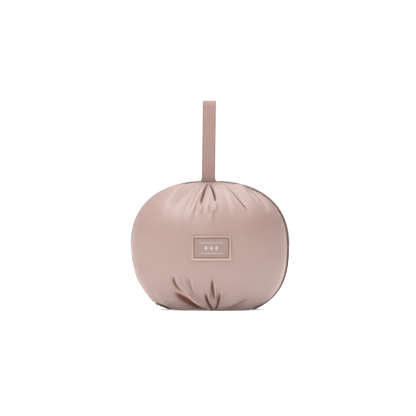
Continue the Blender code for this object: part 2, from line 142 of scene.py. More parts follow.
# One row for each fold: x in half widths and z in heights at its gathered end, half-way and free end,
# its width and depth, how far it leans to one side, how sharp its bottom is, and how much painted shade it
# gets, where a ridge has less than nothing and gets a painted highlight instead
Fold = namedtuple("Fold", "name x0 z0 x1 z1 x2 z2 width depth lean sharp shade")
FRONT_FOLDS = (
    Fold("top pleat left", -0.022, 0.990, -0.082, 0.895, -0.128, 0.775, 0.42, 0.22, 0.0, 0.2, 0.0),
    Fold("top pleat left crease", -0.018, 0.990, -0.079, 0.890, -0.126, 0.778, 0.16, 0.70, 0.0, 0.6, 1.0),
    Fold("top pleat right", -0.010, 0.990, 0.042, 0.900, 0.070, 0.800, 0.42, 0.20, 0.0, 0.2, 0.0),
    Fold("top pleat right crease", -0.018, 0.990, 0.042, 0.897, 0.071, 0.805, 0.15, 0.65, 0.0, 0.6, 1.0),
    Fold("top knuckle left", -0.124, 0.800, -0.118, 0.765, -0.116, 0.725, 0.34, -0.34, 0.0, 0.0, -0.35),
    Fold("top knuckle right", 0.072, 0.825, 0.066, 0.785, 0.068, 0.745, 0.34, -0.32, 0.0, 0.0, -0.35),
    Fold("top nip middle", -0.002, 0.810, -0.005, 0.765, -0.008, 0.715, 0.16, 0.26, 0.0, 0.4, 0.12),
    Fold("top middle ridge", 0.02, 0.790, 0.022, 0.740, 0.020, 0.660, 0.40, -0.26, 0.0, 0.0, -0.15),
    Fold("top crease right", 0.17, 0.965, 0.345, 0.873, 0.475, 0.755, 0.60, 0.62, 0.2, 0.2, 0.0),
    Fold("top crease right sharp", 0.225, 0.945, 0.362, 0.848, 0.480, 0.735, 0.24, 0.42, 0.3, 0.5, 0.95),
    Fold("top hollow left", -0.22, 0.965, -0.40, 0.880, -0.53, 0.755, 0.62, 0.62, 0.2, 0.0, 0.16),
    Fold("top hollow far right", 0.48, 0.925, 0.63, 0.845, 0.72, 0.730, 0.70, 0.50, 0.0, 0.1, 0.0),
    Fold("top ridge far right", 0.51, 0.910, 0.60, 0.845, 0.69, 0.765, 0.34, -0.40, 0.0, 0.0, -0.4),
    Fold("top gather left", -0.10, 0.965, -0.225, 0.860, -0.315, 0.720, 0.48, 0.20, 0.2, 0.0, 0.0),
    Fold("top ridge left", -0.07, 0.950, -0.185, 0.820, -0.270, 0.660, 0.40, -0.26, 0.0, 0.0, -0.45),
    Fold("top gather right", 0.10, 0.955, 0.200, 0.850, 0.265, 0.710, 0.44, 0.14, 0.2, 0.0, 0.0),
    Fold("top ridge right", 0.12, 0.950, 0.240, 0.850, 0.320, 0.715, 0.36, -0.20, 0.0, 0.0, -0.4),
    Fold("low pleat left", 0.045, 0.005, -0.025, 0.065, -0.068, 0.150, 0.45, 0.35, 0.0, 0.2, 0.0),
    Fold("low pleat left crease", 0.085, -0.030, -0.022, 0.060, -0.052, 0.150, 0.19, 0.95, 0.0, 0.6, 1.0),
    Fold("low pleat right", 0.06, 0.000, 0.098, 0.055, 0.108, 0.125, 0.36, 0.26, 0.0, 0.2, 0.0),
    Fold("low pleat right crease", 0.035, -0.030, 0.096, 0.058, 0.116, 0.145, 0.17, 0.75, 0.0, 0.6, 0.95),
    Fold("low crease middle", 0.055, 0.090, 0.036, 0.158, 0.021, 0.275, 0.42, 0.52, 0.2, 0.3, 0.10),
    Fold("low crease middle sharp", 0.060, 0.080, 0.036, 0.160, 0.021, 0.270, 0.20, 0.60, 0.2, 0.6, 0.85),
    Fold("low lobe left", 0.010, 0.055, -0.012, 0.110, -0.026, 0.165, 0.24, -0.60, 0.0, 0.0, -0.5),
    Fold("low lobe middle", 0.062, 0.080, 0.066, 0.140, 0.054, 0.240, 0.24, -0.60, 0.0, 0.0, -0.55),
    Fold("low lobe right", 0.112, 0.050, 0.136, 0.105, 0.140, 0.165, 0.22, -0.60, 0.0, 0.0, -0.5),
    Fold("low hollow left", -0.02, 0.000, -0.225, 0.054, -0.490, 0.172, 0.80, 1.90, 0.60, 0.3, 0.90),
    # painted shade only: this row has no depth, it only darkens the cloth along the low hollow on the left
    Fold("low hollow left floor", 0.01, -0.020, -0.225, 0.030, -0.480, 0.150, 1.05, 0.0, 0.0, 0.0, 0.66),
    Fold("low ridge left", -0.07, 0.040, -0.205, 0.094, -0.350, 0.182, 0.30, -0.95, 0.0, 0.0, -0.6),
    Fold("low crease left", -0.335, 0.148, -0.426, 0.194, -0.447, 0.280, 0.36, 0.80, 0.3, 0.4, 0.95),
    Fold("low ridge left outer", -0.300, 0.160, -0.380, 0.210, -0.405, 0.280, 0.34, -0.60, 0.0, 0.0, -0.55),
    Fold("low crease left inner", -0.215, 0.135, -0.252, 0.200, -0.288, 0.280, 0.34, 0.60, 0.2, 0.2, 0.30),
    Fold("low ridge left inner", -0.165, 0.120, -0.205, 0.190, -0.235, 0.270, 0.36, -0.50, 0.0, 0.0, -0.45),
    Fold("low hollow right", 0.14, 0.010, 0.33, 0.042, 0.50, 0.125, 0.66, 0.80, -0.3, 0.2, 0.40),
    Fold("low ridge far left", -0.488, 0.025, -0.580, 0.092, -0.680, 0.170, 0.24, -0.70, 0.0, 0.0, -0.4),
)
BACK_FOLDS = (
    Fold("top pleat left", 0.02, 0.985, 0.10, 0.895, 0.15, 0.780, 0.62, 0.90, 0.0, 0.2, 0.0),
    Fold("top pleat left crease", 0.02, 0.965, 0.07, 0.900, 0.10, 0.845, 0.24, 0.70, 0.3, 1.0, 0.8),
    Fold("top pleat right", -0.02, 0.985, -0.06, 0.895, -0.09, 0.790, 0.62, 0.90, 0.0, 0.2, 0.0),
    Fold("top pleat right crease", -0.01, 0.965, -0.04, 0.905, -0.06, 0.850, 0.24, 0.70, -0.3, 1.0, 0.8),
    Fold("top hollow left", 0.15, 0.965, 0.38, 0.880, 0.50, 0.745, 1.00, 0.75, 0.0, 0.0, 0.0),
    Fold("top hollow right", -0.15, 0.965, -0.36, 0.885, -0.50, 0.760, 0.88, 0.70, 0.0, 0.2, 0.0),
    Fold("low pleat left", 0.02, -0.02, 0.08, 0.070, 0.11, 0.190, 0.62, 0.90, 0.0, 0.2, 0.0),
    Fold("low pleat left crease", 0.03, -0.01, 0.06, 0.050, 0.08, 0.115, 0.24, 0.70, -0.3, 1.0, 0.8),
    Fold("low pleat right", -0.02, -0.02, -0.07, 0.065, -0.09, 0.180, 0.62, 0.90, 0.0, 0.2, 0.0),
    Fold("low pleat right crease", -0.02, -0.01, -0.05, 0.050, -0.06, 0.115, 0.24, 0.70, 0.3, 1.0, 0.8),
    Fold("low hollow left", 0.10, 0.000, 0.30, 0.070, 0.44, 0.190, 1.00, 1.00, 0.0, 0.1, 0.0),
    Fold("low hollow right", -0.10, 0.000, -0.31, 0.065, -0.46, 0.170, 1.00, 0.90, 0.0, 0.1, 0.0),
)

# Long shallow waves that keep the cloth from lying too evenly: waves per metre across and up, phase and
# height
DENTS = (
    (9.0, 5.0, 0.4, 0.55 * MM),
    (-6.0, 11.0, 2.1, 0.45 * MM),
    (17.0, -3.0, 4.0, 0.30 * MM),
    (14.0, 15.0, 5.2, 0.20 * MM),
)

# How far the front edge of the zip lies inside its rear edge: degrees round the outline from the right
ZIP_INSETS = (
    (-72, 2.2 * MM), (-62, 4.2 * MM), (-42, 3.6 * MM), (-15, 5.0 * MM), (15, 5.0 * MM), (46, 4.0 * MM),
    (63, 4.0 * MM), (72, 3.5 * MM), (108, 3.3 * MM), (120, 2.2 * MM), (227, 2.2 * MM), (233, 5.0 * MM),
    (243, 5.0 * MM), (250, 2.6 * MM),
)

# Where the cloth rolls out over the zip along the top, and where it is drawn up from the zip near the
# floor: the middle and reach in half widths, and how far
OVERHANGS = ((-0.44, 0.14, 2.2 * MM), (0.39, 0.075, 2.2 * MM))
LIFTS = ((-0.56, 0.07, -0.8 * MM), (0.64, 0.09, 1.2 * MM))

# Small gathers that spread from two pinches: how many round each, phase and share of the gathers' height.
# The pinches: x, share of the body's height, the way that the gathers run (1 down, -1 up) and their reach
GATHERS = ((17.0, 0.6, 0.60), (26.0, 2.2, 0.48), (41.0, 4.4, 0.26))
GATHER_HEIGHT = 0.32 * MM
PINCHES = ((-1.5 * MM, 1.0, 1, 58.0 * MM), (5.0 * MM, 0.0, -1, 50.0 * MM))

# Little pulls beside the zip: how many round it, their height and their reach
PUCKER_COUNT, PUCKER_HEIGHT, PUCKER_REACH = 84, 0.35 * MM, 9.0 * MM

# The slider's blocks: their middles and sizes along the zip, across it and outwards, and their rounding,
# all in millimetres, with its steps
Block = namedtuple("Block", "name x y z long wide high bevel steps")
SLIDER_BLOCKS = (
    Block("body", 0.0, 0.0, 1.1, 9.2, 7.2, 1.5, 0.5, 3),
    Block("bridge post", -1.7, 0.0, 2.0, 0.9, 1.8, 1.1, 0.25, 2),
    Block("bridge post", 1.7, 0.0, 2.0, 0.9, 1.8, 1.1, 0.25, 2),
    Block("bridge", 0.0, 0.0, 2.7, 4.3, 1.8, 0.7, 0.25, 2),
    Block("pull side", -1.6, 7.6, 1.9, 1.2, 12.4, 0.9, 0.3, 2),
    Block("pull side", 1.6, 7.6, 1.9, 1.2, 12.4, 0.9, 0.3, 2),
    Block("pull eye", 0.0, 1.6, 1.9, 4.4, 1.0, 0.85, 0.3, 2),
    Block("pull tip", 0.0, 11.2, 1.9, 4.4, 5.4, 0.85, 0.3, 2),
)

# The studio
FLOOR_REACH = 40.0
SUN_SPREAD_ANGLE = 42
SUN_PLACE = (-0.36, -0.54, 0.76)
AIM_X = -3.0 * MM


def eased(low, high, value):
    """0 below low, 1 above high, and smooth between them."""
    share = np.clip((value - low) / (high - low), 0.0, 1.0)
    return share * share * (3 - 2 * share)


def bell(away):
    """1 in the middle, and smoothly to nothing on both sides."""
    return np.exp(-(away**2))


def powered(value, power):
    """The power of a number's size, with its sign kept."""
    return np.sign(value) * np.abs(value) ** power


def mixed(a, b, share):
    """The value that lies this share of the way from a to b."""
    return a + (b - a) * share


def length(name, description, default):
    """A size in metres for the sidebar."""
    return FloatProperty(
        name=name, description=description, default=default, min=0.0, unit="LENGTH", precision=4,
    )


def amount(name, description, default):
    """A plain number for the sidebar."""
    return FloatProperty(name=name, description=description, default=default)


def colour(name, description, default):
    """A colour for the sidebar."""
    return FloatVectorProperty(
        name=name, description=description, default=default, subtype="COLOR", size=3, min=0.0, max=1.0,
    )


class BagSizes(bpy.types.PropertyGroup):
    """Sizes of the bag as it is sewn and filled out"""
    width: length("Width", "Widest part of the body, seen from the front", 0.241)
    height: length("Height", "Height of the body without its loop", 0.196)
    waist: length("Waist height", "Height of the widest level above the floor", 0.097)
    floor_dent: length("Floor dent", "How far the body would reach below the floor, not flattened", 0.009)
    top_power: FloatProperty(
        name="Squareness", description="2 makes the upper outline an ellipse, more makes it squarer",
        default=2.33, min=2.0, max=4.0,
    )
    front_depth: length("Front depth", "How far the front panel bulges from its hem", 0.056)
    back_depth: length("Back depth", "How far the back panel bulges from its hem", 0.047)
    cloth: length("Cloth", "Thickness of the padded cloth", 0.0014)
    zip_width: length("Zip width", "Width of the zip with its tapes", 0.012)
    chain_width: length("Coil width", "Width of the closed coil", 0.0046)
    tooth_pitch: length("Tooth pitch", "Distance from one tooth of the coil to the next", 0.0016)
    strap_width: length("Strap width", "Width of the webbing", 0.020)
    strap_thickness: length("Strap thickness", "Thickness of the webbing", 0.0013)
    strap_height: length("Strap height", "Height of the loop above the body", 0.123)
    loop_radius: length("Loop radius", "Outer radius of the turn at the top of the loop", 0.011)
    label_width: length("Patch width", "Width of the patch on the front", 0.058)
    label_height: length("Patch height", "Height of the patch on the front", 0.036)
    label_rim: length("Patch rim", "Width of the patch's turned rim", 0.0026)
    front_columns: IntProperty(
        name="Front columns", description="Mesh density across the front", default=226, min=40,
    )
    front_rows: IntProperty(
        name="Front rows", description="Mesh density up the front", default=168, min=30,
    )


class BagColours(bpy.types.PropertyGroup):
    """Colours of the bag's cloth, webbing, zip and patch"""
    cloth: colour("Cloth", "Satin-faced nylon", (0.192, 0.117, 0.101))
    # painted shade: the matt dark brown mixed into the cloth in its creases stands in for the shade that
    # falls there
    crease: colour("Crease", "The cloth deep in its folds", (0.100, 0.038, 0.026))
    webbing: colour("Webbing", "Ribbed strap", (0.226, 0.149, 0.134))
    # partly painted shade: the tape's near-black colour also stands in for the shade in the zip's groove
    # between the hems
    tape: colour("Zip tape", "Woven tape beside the coil", (0.034, 0.012, 0.008))
    coil: colour("Coil", "Moulded teeth", (0.33, 0.18, 0.14))
    slider: colour("Slider", "Painted metal", (0.60, 0.44, 0.38))
    patch: colour("Patch", "Flat woven middle of the patch", (0.176, 0.117, 0.100))
    motif: colour("Motif", "Pale thread of the plain ornament", (0.52, 0.45, 0.48))


class StageLook(bpy.types.PropertyGroup):
    """Light and camera of the studio"""
    key: amount("Key light", "Strength of the soft light from the upper left", 2.25)
    ceiling: amount("Ceiling", "Brightness overhead", 3.4)
    walls: amount("Walls", "Brightness half-way up", 0.66)
    horizon: amount("Backdrop", "Brightness of the white backdrop round the bag", 1.04)
    table: amount("Light table", "Glow of the white table under the bag", 0.36)
    shade_side: amount("Shade side", "How much darker the walls are at the right, as a share", 1.0)
    ceiling_side: amount("Ceiling side", "How much brighter the ceiling is at the right, as a share", 0.62)
    lens: amount("Lens", "Focal length of the camera in millimetres", 90.0)
    distance: length("Distance", "From the camera to the middle of the bag", 1.575)
    aim_height: length("Aim height", "The height that the camera looks at", 0.154)
    camera_height: length("Camera height", "The camera's own height", 0.10)


class Form:
    """The bag's outline, its two panels and the band of its zip, worked out from the sizes."""

    def __init__(self, sizes):
        self.sizes = sizes
        self.half_width = sizes.width / 2
        self.rise = sizes.height - sizes.waist
        self.drop = sizes.waist + sizes.floor_dent
        front_reach = sizes.zip_width / 2 + GAP + HEM + sizes.front_depth + GAP + LABEL_REACH
        back_reach = sizes.zip_width / 2 + GAP + HEM + sizes.back_depth
        self.seam = (front_reach - back_reach) / 2
        self.gather = sizes.strap_width + 2 * (STRAP_FLARE + abs(STRAP_X) + GATHER_SPARE)
        self.strap_stack = 2 * sizes.strap_thickness + GAP
        self.strap_y = self.seam + sizes.zip_width / 2 + GAP + self.strap_stack / 2
        self.tape_width = (sizes.zip_width - sizes.chain_width) / 2 - GAP

    def zip_inset(self, angle):
        """How far the front edge of the zip lies inside its rear edge."""
        turned = (np.degrees(angle) + FULL_TURN / 4) % FULL_TURN - FULL_TURN / 4
        return np.interp(turned, *zip(*ZIP_INSETS))

    def seam_y(self, angle):
        """The middle of the zip in depth."""
        return self.seam - ZIP_SWAY * 0.5 * powered(np.cos(angle), 2.0)

    def corner_shape(self, upper, right):
        """Height and roundness of the outline's quarters."""
        power = np.where(right, BOTTOM_POWER_RIGHT, BOTTOM_POWER_LEFT)
        return np.where(upper, self.rise, self.drop), np.where(upper, self.sizes.top_power, power)

    def outline(self, angle, inset=0.0):
        """x and z of the zip's line, from the middle of the waist, and the way outwards there."""
        away = (np.degrees(angle) % FULL_TURN - SIDE_TUCK_ANGLE) / SIDE_TUCK_SPREAD_ANGLE
        pulled = (np.degrees(angle) % FULL_TURN - SLIDER_ANGLE) / CORNER_SPREAD_ANGLE
        inset = inset + SIDE_TUCK * bell(away) - CORNER_PULL * bell(pulled)
        rise, power = self.corner_shape(np.sin(angle) >= 0, np.cos(angle) >= 0)
        x = self.half_width * powered(np.cos(angle), 2 / power)
        z = rise * powered(np.sin(angle), 2 / power)
        out_x = powered(x / self.half_width, power - 1) / self.half_width
        out_z = powered(z / rise, power - 1) / rise
        size = np.hypot(out_x, out_z)
        return x - inset * out_x / size, z - inset * out_z / size, out_x / size, out_z / size

    def end_angle(self, upper, right):
        """The angle at which half the outline's width has shrunk to half the gathered width."""
        power = self.corner_shape(upper, right)[1]
        return np.arccos((self.gather / 2 / self.half_width) ** (power / 2))

    def droop(self, x, z, bulge):
        """How far the front hangs outwards over the zip, at its lower left."""
        low = eased(0.12, 0.5, -z / self.drop) * (1 - eased(0.76, 0.83, -z / self.drop))
        left = eased(0.3, 0.7, -x / self.half_width)
        deep = bulge / self.sizes.front_depth
        return SIDE_DROOP * low * left * eased(0.0, 0.09, deep) * (1 - eased(0.25, 0.6, deep))

    def overhang(self, x, z, bulge):
        """How far the front rolls out over the zip, or is drawn up from it."""
        rolls, lifts = (
            sum(far * bell((x / self.half_width - middle) / reach) for middle, reach, far in places)
            for places in (OVERHANGS, LIFTS)
        )
        deep = bulge / self.sizes.front_depth
        rolls = rolls * eased(0.5, 0.7, z / self.rise) * (1 - eased(0.1, 0.45, deep))
        lifts = lifts * eased(0.55, 0.75, -z / self.drop) * (1 - eased(0.3, 0.8, deep))
        return (rolls - lifts) * eased(0.0, 0.05, deep)

    def strap_notch(self, x, height):
        """How far the back panel's edge stands back to let the strap's ends in."""
        reach = self.sizes.strap_width / 2 + STRAP_FLARE + GATHER_SPARE
        beside = eased(reach, 1.6 * reach, np.abs(x - STRAP_X))
        below = eased(0.0, 2.3 * STRAP_ROOT, self.sizes.height - height)
        return (self.strap_stack + GAP) * (1 - beside) * (1 - below)

    def seam_depth(self, angle):
        """How deep a tape's sewn-in edge lies, which passes below the ends of the strap."""
        x, z, _out_x, _out_z = self.outline(angle)
        reach = self.sizes.strap_width / 2 + STRAP_FLARE + 0.6 * MM
        beside = eased(reach, 1.25 * reach, np.abs(x - STRAP_X))
        return np.where(z > 0, mixed(SEAM_UNDER_STRAP, SEAM_DEPTH, beside), SEAM_DEPTH)

    def panel(self, facing, column, row):
        """Points of a panel before it is folded, with their rim, outward way, bulge and plane place."""
        front = facing < 0
        depth = self.sizes.front_depth if front else self.sizes.back_depth
        down = row - ROW_CROWDING * np.sin(2 * np.pi * row) / (2 * np.pi)
        right_turn = mixed(self.end_angle(True, True), -self.end_angle(False, True), down)
        left_turn = mixed(self.end_angle(True, False), -self.end_angle(False, False), down)
        angles = right_turn, np.pi - left_turn
        insets = [self.zip_inset(angle) if front else 0.0 for angle in angles]
        right, left = (self.outline(angle, inset) for angle, inset in zip(angles, insets))
        crowded = 2 * column - 1
        sweep = np.pi / 2 * (1 - mixed(crowded, crowded**3, COLUMN_CROWDING))
        share = (1 + np.cos(sweep)) / 2
        x, z = mixed(left[0], right[0], share), mixed(left[1], right[1], share)
        turn = mixed(left_turn, right_turn, share)
        limit = np.cos(mixed(self.end_angle(turn > 0, False), self.end_angle(turn > 0, True), share))
        full = np.maximum(0.0, (np.cos(turn) - limit) / (1 - limit)) ** DEPTH_POWER
        bulge = depth * full * (1 - BELLY * np.sin(turn)) * np.maximum(0.0, np.sin(sweep)) ** EDGE_POWER
        rim = mixed(self.seam_y(angles[1]), self.seam_y(angles[0]), share)
        rim = rim + facing * (self.sizes.zip_width / 2 + GAP)
        height = z + self.sizes.waist
        if not front:
            rim = rim + self.strap_notch(x, height)
        half_height = np.where(z > 0, self.rise, self.drop)
        across = np.stack((x / self.half_width**2, np.zeros_like(x), z / half_height**2))
        outward = across.copy()
        outward[1] = facing * np.maximum(bulge, MM) / depth**2
        outward /= np.linalg.norm(outward, axis=0)
        upright = eased(0.0, FLOOR_BLEND, height)
        outward = mixed(np.array((0.0, 0.0, -1.0))[:, None], outward, upright)
        outward /= np.linalg.norm(outward, axis=0)
        across /= np.maximum(np.linalg.norm(across, axis=0), 1e-9)
        return x, z, height, rim, bulge, outward, across

    def ring(self, angle, across, recess):
        """Points of the zip's band: across runs from its front edge to its rear edge, in metres."""
        share = across / self.sizes.zip_width
        x, z, _out_x, _out_z = self.outline(angle, self.zip_inset(angle) * (1 - share) + recess)
        y = self.seam_y(angle) + across - self.sizes.zip_width / 2
        return np.stack((x, y + np.zeros_like(x), np.maximum(recess, z + self.sizes.waist)))


def fold_field(form, folds, x, height):
    """How deep the folds sink the cloth, and how much painted shade it gets there (below nothing, a painted
    highlight).
    """
    sunk, shade = np.zeros_like(x), np.zeros_like(x)
    for fold in folds:
        share = np.linspace(0, 1, CURVE_STEPS + 1)
        weights = (1 - share) ** 2, 2 * (1 - share) * share, share**2
        bend_x, bend_z = 2 * fold.x1 - (fold.x0 + fold.x2) / 2, 2 * fold.z1 - (fold.z0 + fold.z2) / 2
        line_x = form.half_width * (weights[0] * fold.x0 + weights[1] * bend_x + weights[2] * fold.x2)
        line_z = form.sizes.height * (weights[0] * fold.z0 + weights[1] * bend_z + weights[2] * fold.z2)
        near, at, side = np.full_like(x, np.inf), np.zeros_like(x), np.zeros_like(x)
        for step in range(CURVE_STEPS):
            to_x, to_z = x - line_x[step], height - line_z[step]
            run_x, run_z = line_x[step + 1] - line_x[step], line_z[step + 1] - line_z[step]
            along = np.clip((to_x * run_x + to_z * run_z) / (run_x**2 + run_z**2), 0, 1)
            away = np.hypot(to_x - along * run_x, to_z - along * run_z)
            closer = away < near
            near = np.where(closer, away, near)
            at = np.where(closer, (step + along) / CURVE_STEPS, at)
            side = np.where(closer, np.sign(run_x * to_z - run_z * to_x), side)
        width = FOLD_WIDTH * fold.width * mixed(FOLD_START_WIDTH, FOLD_END_WIDTH, at)
        width *= 1 + fold.lean * side
        along = eased(-0.15, 0.3, at) * (1 - eased(0.55, 1.0, at) * 0.9)
        away = near / width
        across = mixed(bell(away), np.exp(-1.7 * away), fold.sharp)
        sunk += FOLD_DEPTH * fold.depth * along * (across - BANK_SHARE * bell(away - BANK_PLACE))
        # painted shade and painted highlight: each fold's shade value, spread round its line
        dark = np.maximum(CREASE_WIDTH * mixed(0.5, 1.35, at), 0.5 * width)
        shade += fold.shade * eased(-0.2, 0.4, at) * (1 - eased(0.7, 1.0, at)) * bell(near / dark)
    return sunk, np.clip(shade, -1, 1)


def small_gathers(form, x, height):
    """Fine folds that fan out from the two pinches."""
    total = np.zeros_like(x)
    for pinch_x, level, way, reach in PINCHES:
        to_x, to_z = x - pinch_x, way * (level * form.sizes.height - height)
        away = np.hypot(to_x, to_z)
        turn = np.arctan2(to_x, np.maximum(to_z, 0.2 * MM))
        fan = sum(share * np.sin(count * turn + phase) for count, phase, share in GATHERS)
        total += fan * eased(4 * MM, 16 * MM, away) * (1 - eased(0.4 * reach, reach, away))
    return GATHER_HEIGHT * total


def seam_puckers(x, z, bulge):
    """Little pulls that the stitching leaves beside the zip."""
    turn = np.arctan2(z, x)
    wave = np.sin(PUCKER_COUNT * turn + 1.4 * np.sin(5 * turn)) * (0.6 + 0.4 * np.sin(7 * turn + 1.0))
    return PUCKER_HEIGHT * wave * eased(0.0, 2.5 * MM, bulge) * np.exp(-bulge / PUCKER_REACH)


def even_dents(x, height):
    """Long shallow waves of the filled-out cloth."""
    waves = ((2 * np.pi * (across * x + up * height) + phase, deep) for across, up, phase, deep in DENTS)
    return sum(deep * np.sin(wave) for wave, deep in waves)


def add_piece(name, shape, finish):
    """Turns a bmesh into a piece that rides on the body."""
    mesh = bpy.data.meshes.new(name)
    shape.to_mesh(mesh)
    shape.free()
    mesh.shade_smooth()
    piece = bpy.data.objects.new(name, mesh)
    piece.data.materials.append(finish)
    bpy.context.scene.collection.objects.link(piece)
    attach(piece, "root")
    return piece


def add_wall(piece, thickness, offset=-1.0):
    """Gives an open surface its thickness."""
    wall = piece.modifiers.new("wall", "SOLIDIFY")
    wall.thickness = thickness
    wall.offset = offset


def face_outwards(shape, outward):
    """Turns the faces of an open grid so that the flattest one looks the way given."""
    shape.normal_update()
    flattest = max(shape.faces, key=lambda face: abs(face.normal.dot(Vector(outward))))
    if flattest.normal.dot(Vector(outward)) < 0:
        bmesh.ops.reverse_faces(shape, faces=shape.faces[:])


def make_grid(columns, rows):
    """A flat grid with the column and row of each vertex."""
    shape = bmesh.new()
    bmesh.ops.create_grid(shape, x_segments=columns, y_segments=rows, size=0.5)
    flat = np.array([vertex.co[:2] for vertex in shape.verts])
    column = np.rint((flat[:, 0] + 0.5) * columns).astype(int)
    row = np.rint((0.5 - flat[:, 1]) * rows).astype(int)
    return shape, column, row


def lay_grid(shape, places, flat_u, flat_v, shade=None):
    """Moves the grid's vertices to their places, keeps any painted shade in a "crease" layer, and gives the
    faces their flat cut as a UV map.
    """
    painted_shade_layer = shape.verts.layers.float.new("crease") if shade is not None else None
    for index, (vertex, place) in enumerate(zip(shape.verts, places.T)):
        vertex.co = place
        vertex.index = index
        if painted_shade_layer is not None:
            vertex[painted_shade_layer] = shade[index]
    layer = shape.loops.layers.uv.new("cut")
    for face in shape.faces:
        for corner in face.loops:
            index = corner.vert.index
            corner[layer].uv = (flat_u[index], flat_v[index])


def flat_cut(places, column, row):
    """Lengths along the cloth from its middle, across and up, for each vertex of a grid."""
    table = np.zeros((row.max() + 1, column.max() + 1, 3))
    table[row, column] = places.T
    across = np.cumsum(np.linalg.norm(np.diff(table, axis=1, prepend=table[:, :1]), axis=2), axis=1)
    down = np.cumsum(np.linalg.norm(np.diff(table, axis=0, prepend=table[:1]), axis=2), axis=0)
    across -= across[:, [table.shape[1] // 2]]
    down -= down[[table.shape[0] // 2]]
    return across[row, column], -down[row, column]


def sew_panel(form, name, facing, folds, columns, rows, finish):
    """A gathered panel: the filled-out cloth, with its rolled hem beside the zip."""
    shape, column, row = make_grid(columns + 2 * HEM_RINGS, rows + 2 * HEM_RINGS)
    inner_column = np.clip(column - HEM_RINGS, 0, columns) / columns
    inner_row = np.clip(row - HEM_RINGS, 0, rows) / rows
    x, z, height, rim, bulge, outward, across = form.panel(facing, inner_column, inner_row)
    sunk, shade = fold_field(form, folds, x, height)
    sunk = sunk - small_gathers(form, x, height) - even_dents(x, height) * eased(0.0, 3 * SEAM_FADE, bulge)
    sunk = sunk * eased(0.0, SEAM_FADE / 2, bulge) - seam_puckers(x, z, bulge)
    if facing < 0:
        sunk = sunk - form.droop(x, z, bulge) - form.overhang(x, z, bulge)
    places = np.stack((x, rim + facing * (HEM + bulge), np.maximum(0.0, height))) - outward * sunk
    from_sides = np.minimum(column, column.max() - column)
    ring = np.minimum(from_sides, np.minimum(row, row.max() - row))
    hem = np.clip(ring / HEM_RINGS, 0, 1)
    roll = HEM_ROLL * np.sin(np.pi * hem) - HEM_TUCK * (1 - hem)
    hems = np.stack((x, rim + facing * HEM * hem, np.maximum(0.0, height))) + across * roll
    places = np.where(ring < HEM_RINGS, hems, places)
    places[2] = np.maximum(0.0, places[2])
    flat_u, flat_v = flat_cut(places, column, row)
    lay_grid(shape, places, flat_u, flat_v, shade)
    bmesh.ops.remove_doubles(shape, verts=shape.verts[:], dist=GAP / 20)
    face_outwards(shape, (0, facing, 0))
    panel = add_piece(name, shape, finish)
    add_wall(panel, form.sizes.cloth)
    return panel


def band_angles(start, stop, count):
    """Evenly spaced angles round the outline, in radians."""
    return np.radians(np.linspace(start, stop, count + 1))


def sweep_band(form, angles, stops, recess, sewn_in=None):
    """An open strip round the outline, with its stops across the zip's width, their depths, and which of
    them are sewn in under the panel's hem."""
    shape, column, row = make_grid(len(angles) - 1, len(stops) - 1)
    depth = recess[row]
    if sewn_in is not None:
        depth = np.where(sewn_in[row], np.maximum(depth, form.seam_depth(angles[column])), depth)
    places = form.ring(angles[column], stops[row], depth)
    flat_u, flat_v = flat_cut(places, column, row)
    lay_grid(shape, places, flat_u, flat_v)
    shape.normal_update()
    middle = Vector((0, 0, form.sizes.waist))
    if sum(face.normal.dot(face.calc_center_median() - middle) for face in shape.faces) < 0:
        bmesh.ops.reverse_faces(shape, faces=shape.faces[:])
    return shape


def band_frame(form, angle, across, recess):
    """Where something sits on the zip's band: along it, across it and outwards."""
    here = Vector(form.ring(np.array(angle), across, recess))
    ahead = Vector(form.ring(np.array(angle + 0.004), across, recess))
    along = (ahead - here).normalized()
    outward = Vector((0, 1, 0)).cross(along).normalized()
    if outward.dot(here - Vector((0, 0, form.sizes.waist))) < 0:
        outward.negate()
    side = outward.cross(along).normalized()
    return Matrix.Translation(here) @ Matrix((along, side, outward)).transposed().to_4x4()


def add_block(shape, size, bevel, segments=1, middle=(0, 0, 0)):
    """A small block with rounded edges, as vertices of the bmesh."""
    fresh = bmesh.ops.create_cube(shape, size=1.0)["verts"]
    bmesh.ops.scale(shape, verts=fresh, vec=size)
    bmesh.ops.translate(shape, verts=fresh, vec=middle)
    edges = list(dict.fromkeys(edge for vertex in fresh for edge in vertex.link_edges))
    made = bmesh.ops.bevel(
        shape, geom=edges, offset=bevel, offset_type="OFFSET", segments=segments, profile=0.5,
        affect="EDGES", material=-1,
    )
    return list(dict.fromkeys(vertex for face in made["faces"] for vertex in face.verts))


class Socket:
    """One value in a material's nodes, with the arithmetic of plain numbers."""

    def __init__(self, tree, socket):
        self.tree, self.socket = tree, socket

    def math(self, operation, *values):
        node = self.tree.nodes.new("ShaderNodeMath")
        node.operation = operation
        for place, value in zip(node.inputs, values):
            join(self.tree, value, place)
        return Socket(self.tree, node.outputs[0])

    def __add__(self, other):
        return self.math("ADD", self, other)

    def __sub__(self, other):
        return self.math("SUBTRACT", self, other)

    def __rsub__(self, other):
        return self.math("SUBTRACT", other, self)

    def __mul__(self, other):
        return self.math("MULTIPLY", self, other)

    def __lt__(self, other):
        return self.math("LESS_THAN", self, other)

    def sine(self):
        return self.math("SINE", self)

    def size(self):
        return self.math("ABSOLUTE", self)

    def fraction(self):
        return self.math("FRACT", self)

    def ribs(self, spacing):
        """Rounded ribs from 0 to 1 that lie this far apart."""
        return (self * (math.pi / spacing)).sine().size()

    def eased(self, low, high):
        node = self.tree.nodes.new("ShaderNodeMapRange")
        node.interpolation_type = "SMOOTHSTEP"
        join(self.tree, self, node.inputs["Value"])
        node.inputs["From Min"].default_value = low
        node.inputs["From Max"].default_value = high
        return Socket(self.tree, node.outputs[0])


def join(tree, value, place):
    """Links a socket to a place, or sets the place's own value."""
    if isinstance(value, Socket):
        tree.links.new(value.socket, place)
    else:
        place.default_value = value


